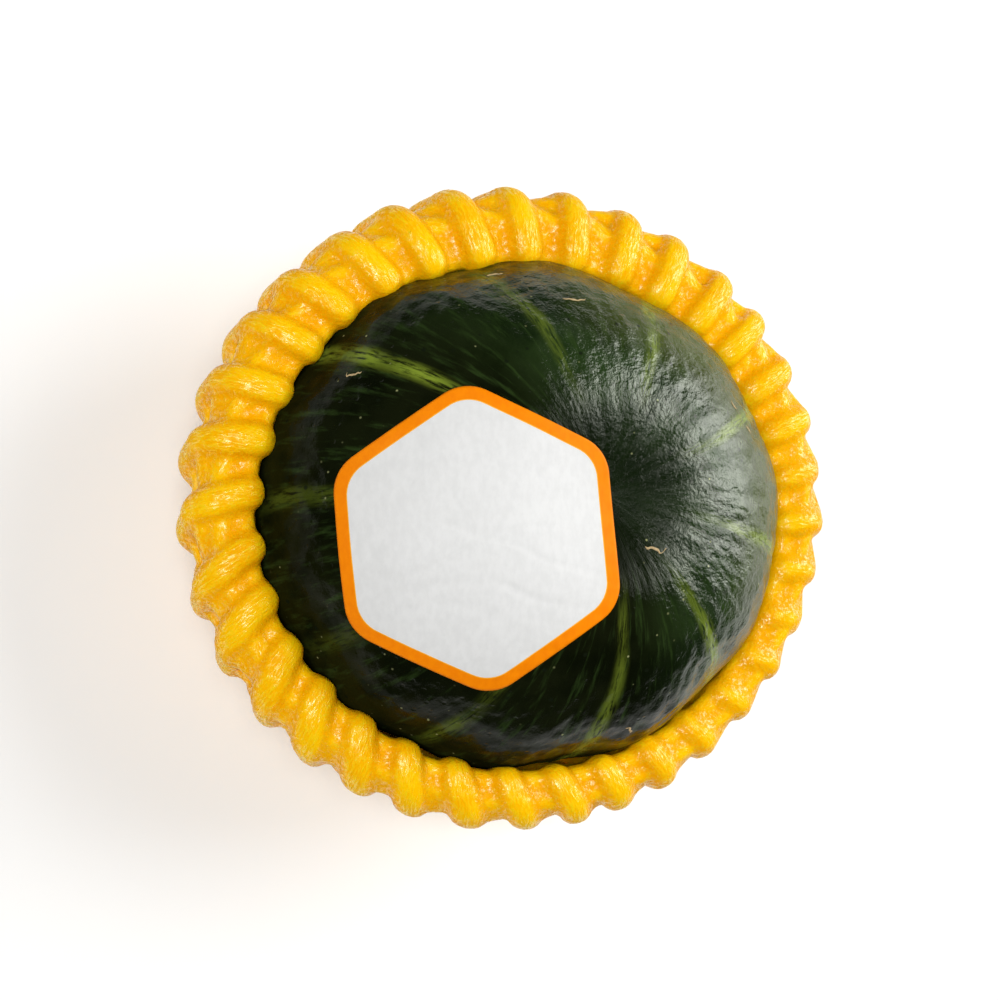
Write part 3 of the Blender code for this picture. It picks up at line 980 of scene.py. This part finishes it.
def add_core():
    """The ring of foam inside the fold."""

    def spot_at(part, lift):
        return fold_spot(TAU * part, 0.0, CORE_DEPTH + lift)

    lay_strand(foam_form, spot_at, CORE_STEPS, CORE_HALF_WIDTH, CORE_HALF_DEPTH)


for number in range(LOBES):
    for rail, row in enumerate(RAILS):
        add_rail(number, rail, *row)
add_core()
bmesh.ops.remove_doubles(foam_form, verts=foam_form.verts, dist=0.001 * MM)
print("the whole sleeve has", len(foam_form.faces), "faces and", len(stations), "stations")

# %% [markdown]
# ## Melting the strands together
# Where strands touch, the hot foam fuses, so the crease between them is soft. A voxel remesh turns all the
# tubes into one closed skin, a few rounds of smoothing soften its creases, and a decimation spends the
# triangles where the shape needs them. A Boolean union would keep the creases sharp and is slow on so many
# Then each vertex looks up the nearest station and stores where it lies on that strand, because
# the remesh forgets it. Where two strands meet, the vertices are marked as a crease, which the finish also
# uses to paint shade. A few rounds of averaging widen that mark softly, so that the fibres ease into a
# plain grain there without an edge.
# The decimation can leave a few loose flakes of three or four vertices, which are deleted.

# %% Fuse the strands into one skin
VOXEL = 0.66 * MM
SMOOTHINGS = 2
FOAM_KEPT = 0.42
CREASE_ROUNDS = 2


def keep_largest(form):
    """Delete every loose part of a form but the largest. Returns how many vertices went."""
    unseen = set(form.verts)
    loose_parts = []
    while unseen:
        front = [unseen.pop()]
        part = []
        while front:
            vertex = front.pop()
            part.append(vertex)
            for edge in vertex.link_edges:
                other = edge.other_vert(vertex)
                if other in unseen:
                    unseen.remove(other)
                    front.append(other)
        loose_parts.append(part)
    loose_parts.sort(key=len)
    flakes = [vertex for part in loose_parts[:-1] for vertex in part]
    bmesh.ops.delete(form, geom=flakes, context="VERTS")
    return len(flakes)


tubes = add_object("tubes", make_mesh("tubes", foam_form))
melt = tubes.modifiers.new("melt", "REMESH")
melt.mode = "VOXEL"
melt.voxel_size = VOXEL
soften = tubes.modifiers.new("soften", "SMOOTH")
soften.iterations = SMOOTHINGS
spend = tubes.modifiers.new("spend", "DECIMATE")
spend.ratio = FOAM_KEPT
fused = bpy.data.meshes.new_from_object(tubes.evaluated_get(bpy.context.evaluated_depsgraph_get()))
bpy.data.objects.remove(tubes)
print("the melted skin has", len(fused.polygons), "faces")

# %% Mark the fibres and the creases
nearest = KDTree(len(stations))
for index, station in enumerate(stations):
    nearest.insert(station[0], index)
nearest.balance()
fused_form = bmesh.new()
fused_form.from_mesh(fused)
fibre_layer = fused_form.verts.layers.float_vector.new("fibre")
crease_layer = fused_form.verts.layers.float.new("crease")
strand_of = []
for vertex in fused_form.verts:
    vertex.co.z = max(vertex.co.z, 0.0)
    centre, along, side, out, length, strand = stations[nearest.find(vertex.co)[1]]
    off = vertex.co - centre
    vertex[fibre_layer] = Vector((length + off.dot(along), off.dot(side), off.dot(out)))
    strand_of.append(strand)
pairs = [(edge.verts[0].index, edge.verts[1].index) for edge in fused_form.edges]
creases = [0.0] * len(strand_of)
for first, second in pairs:
    if strand_of[first] != strand_of[second]:
        creases[first] = creases[second] = 1.0
for _ in range(CREASE_ROUNDS):
    totals, counts = list(creases), [1] * len(creases)
    for first, second in pairs:
        totals[first] += creases[second]
        totals[second] += creases[first]
        counts[first] += 1
        counts[second] += 1
    creases = [total / count for total, count in zip(totals, counts)]
for vertex, crease in zip(fused_form.verts, creases):
    vertex[crease_layer] = crease
print("the decimation left", keep_largest(fused_form), "vertices in loose flakes, now deleted")
foam_mesh = make_mesh("foam_net_sleeve", fused_form)
print("the finished sleeve has", len(foam_mesh.polygons), "faces")

# %% [markdown]
# ## The finish of the foam
# Expanded foam is full of tiny cells drawn out along the strand. It is golden yellow, light passes a
# little way into it, and its skin has a satin gleam broken into short dashes along the fibres. Subsurface
# light gives the glow, and noise stretched along each strand gives the dashes. The creases where strands
# meet are painted a darker orange, as painted shade.

# %% Foam finish
FOAM_COLOURS = (0.90, 0.42, 0.0004), (0.95, 0.52, 0.0008)
THREAD_COLOUR = (1.0, 0.66, 0.004)
# Painted shade: a darker orange for the creases between strands.
PAINTED_CREASE_SHADE_COLOUR = (0.80, 0.32, 0.0003)

foam, tree, shader = start_finish("yellow_foam", (0.96, 0.52, 0.002), 0.36)
fibre = read_attribute(tree, "fibre")
crease = read_attribute(tree, "crease", "Fac")
spot = own_place(tree)
along = clouds(tree, scaled(tree, fibre, (800.0, 2400.0, 2400.0)), 1.0, 3.0, 0.6)
plain_grain = clouds(tree, spot, 1300.0, 3.0, 0.6)
threads = blend(tree, fade(tree, crease, 0.03, 0.55), along, plain_grain)
cells = clouds(tree, spot, 2300.0, 2.0, 0.6)
patches = clouds(tree, spot, 110.0, 3.0)
colour = mix_colours(tree, fade(tree, patches, 0.35, 0.65), *FOAM_COLOURS)
colour = mix_colours(tree, fade(tree, threads, 0.40, 0.68, 0.0, 0.80), colour, THREAD_COLOUR)
# Painted shade in the creases where strands meet.
painted_crease_shade = multiply(tree, fade(tree, crease, 0.15, 0.75), 0.50)
colour = mix_colours(tree, painted_crease_shade, colour, PAINTED_CREASE_SHADE_COLOUR)
feed(tree, shader.inputs["Base Color"], colour)
shader.inputs["Subsurface Weight"].default_value = 0.20
shader.inputs["Subsurface Radius"].default_value = (1.0, 0.40, 0.03)
shader.inputs["Subsurface Scale"].default_value = 1.2 * MM
feed(tree, shader.inputs["Roughness"], fade(tree, threads, 0.40, 0.62, 0.42, 0.22))
feed(tree, shader.inputs["Specular IOR Level"], fade(tree, threads, 0.46, 0.62, 0.03, 0.80))
make_bump(tree, shader, [(threads, 0.21 * MM), (cells, 0.05 * MM)])
make_piece("foam_net_sleeve", foam_mesh, [foam], "foam_net")

# %% [markdown]
# ## The label
# A six-sided paper label with rounded corners lies on the skin and bridges part of the blossom basin. It
# starts as rings of vertices spun round its middle, in three zones: paper, a thin yellow line and an
# orange edge, so the print has sharp edges without a picture. Each vertex is then dropped onto the
# skin along the way the label faces, and Solidify gives the paper its thickness.

# %% Label's outline and place
LABEL_X = -22.2 * MM
LABEL_Y = -8.6 * MM
LABEL_FACES = (math.radians(195), math.radians(25))
LABEL_TWIST = math.radians(5)
LABEL_HALF_FLATS = 22.8 * MM
LABEL_CORNER = 7.0 * MM
LABEL_EDGE = 2.05 * MM
LABEL_LINE = 0.16 * MM
LABEL_LIFT = 0.45 * MM
LABEL_THICKNESS = 0.18 * MM
LABEL_BASIN_DEPTH = 3.2 * MM
LABEL_RIB_SHARE = 0.6
LABEL_COLUMNS = 180


def label_reach(angle, inset):
    """How far the label's outline is from its middle, moved inwards by inset."""
    half_flats = LABEL_HALF_FLATS - inset
    rounding = max(LABEL_CORNER - 0.6 * inset, 1.0 * MM)
    corner = (half_flats - rounding) / math.cos(math.pi / 6)
    off_corner = (angle + math.pi / 6) % (math.pi / 3) - math.pi / 6
    if abs(off_corner) > math.atan2(rounding / 2, corner + rounding * math.cos(math.pi / 6)):
        return half_flats / math.cos(math.pi / 6 - abs(off_corner))
    across = corner * math.sin(off_corner)
    return corner * math.cos(off_corner) + math.sqrt(rounding**2 - across**2)


def carrier_tree():
    """The fruit with a shallower basin, which the stiff paper bridges, ready for rays to hit."""
    carrier = bmesh.new()
    bmesh.ops.create_uvsphere(carrier, u_segments=180, v_segments=90, radius=1.0)
    for vertex in carrier.verts:
        turn = row_turn(math.acos(max(-1.0, min(1.0, vertex.co.z))) / math.pi)
        angle = math.atan2(vertex.co.y, vertex.co.x)
        radius, height = skin(turn, LABEL_BASIN_DEPTH)
        radius -= LABEL_RIB_SHARE * RIB_DEPTH * groove_at(turn, angle)
        vertex.co = place(radius, rib_angle(angle), height)
    made = BVHTree.FromBMesh(carrier)
    carrier.free()
    return made


label_carrier = carrier_tree()
label_facing = direction(*LABEL_FACES)
label_middle = Vector((FRUIT_X + LABEL_X, FRUIT_Y + LABEL_Y, FRUIT_Z + FRUIT_HALF_HEIGHT))
label_turn = Matrix.Rotation(LABEL_TWIST + math.pi / 2, 4, "Z")
label_frame = Matrix.Translation(label_middle) @ square_on(label_facing) @ label_turn


def paper_wave(flat):
    """The paper's own slight waves and creases."""
    wave = noise.noise(Vector((flat.x * 70.0, flat.y * 110.0, 2.0)))
    crease = abs(noise.noise(Vector((flat.x * 150.0 + 3.0, flat.y * 60.0, 5.0))))
    return 0.16 * MM * wave - 0.12 * MM * smooth_step(0.12 - crease, 0.0, 0.12)


def lay_on_fruit(flat, off):
    """Where a point of the flat label comes to lie on the skin."""
    start = label_frame @ Vector((flat.x, flat.y, 40.0 * MM))
    hit = label_carrier.ray_cast(start, -label_facing)[0]
    return hit + label_facing * (off + paper_wave(flat))


print("the label lies", round(label_middle.z / MM, 1), "mm high before it is laid down")

# %% The label itself
PAPER_ZONE, LINE_ZONE, EDGE_ZONE = 0, 1, 2
PAPER_RINGS = 26
EDGE_RINGS = 6
ring_insets = [(LABEL_EDGE + LABEL_LINE, part / PAPER_RINGS) for part in range(PAPER_RINGS + 1)]
ring_insets += [(LABEL_EDGE, 1.0)]
ring_insets += [(LABEL_EDGE * (1.0 - part / EDGE_RINGS), 1.0) for part in range(1, EDGE_RINGS + 1)]

label_form = bmesh.new()
spin_round(label_form, [(float(ring), 0.0) for ring in range(len(ring_insets))], LABEL_COLUMNS, 0.001)
for face in label_form.faces:
    ring = math.hypot(*face.calc_center_median().xy)
    beyond_paper = LINE_ZONE if ring < PAPER_RINGS + 1 else EDGE_ZONE
    face.material_index = PAPER_ZONE if ring < PAPER_RINGS else beyond_paper
for vertex in label_form.verts:
    ring = round(math.hypot(vertex.co.x, vertex.co.y))
    angle = math.atan2(vertex.co.y, vertex.co.x)
    inset, share = ring_insets[ring]
    reach = label_reach(angle, inset) * share
    flat = Vector((math.cos(angle) * reach, math.sin(angle) * reach, 0.0))
    vertex.co = lay_on_fruit(flat, LABEL_LIFT)
label_mesh = make_mesh("paper_label", label_form)

# %% [markdown]
# ## The finishes of the label
# Coated label paper is light grey-white with a faint fibre and a soft gleam. The printed edge is warm
# orange, and a hair of yellow shows where the print ends. Each zone has its own finish, so the borders
# between them are as crisp as printing.

# %% Label finishes
PAPER_ROUGHNESS = 0.50
PAPER_GLEAM = 0.08


def paper_finish(name, light, dark):
    """Printed paper whose colour varies a little."""
    material, tree, shader = start_finish(name, light, PAPER_ROUGHNESS)
    spot = own_place(tree)
    fibres = clouds(tree, scaled(tree, spot, (900.0, 500.0, 700.0)), 1.0, 3.0, 0.6)
    colour = mix_colours(tree, fade(tree, fibres, 0.3, 0.7), light, dark)
    feed(tree, shader.inputs["Base Color"], colour)
    shader.inputs["Specular IOR Level"].default_value = PAPER_GLEAM
    make_bump(tree, shader, [(fibres, 0.03 * MM), (clouds(tree, spot, 160.0, 2.0), 0.25 * MM)])
    return material


white_paper = paper_finish("label_paper", (0.70, 0.70, 0.69), (0.66, 0.66, 0.65))
yellow_line = paper_finish("label_yellow_line", (0.90, 0.42, 0.03), (0.85, 0.38, 0.02))
orange_edge = paper_finish("label_orange_edge", (0.88, 0.235, 0.0), (0.83, 0.205, 0.0))
label_finishes = [white_paper, yellow_line, orange_edge]
label = make_piece("paper_label", label_mesh, label_finishes, "sticker")
thickness = label.modifiers.new("paper", "SOLIDIFY")
thickness.thickness = LABEL_THICKNESS
thickness.offset = 1.0

# %% [markdown]
# ## Last: the box
# The box of the dressed part is measured, and the script prints by how much it is larger than the box of
# the solids.

# %% Compare the sizes
shown_low, shown_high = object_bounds()
change = (shown_high - shown_low) - (solid_high - solid_low)
grown = [round(x / MM, 2) for x in change]
print("the dressed part is larger than the solids by", grown, "mm")
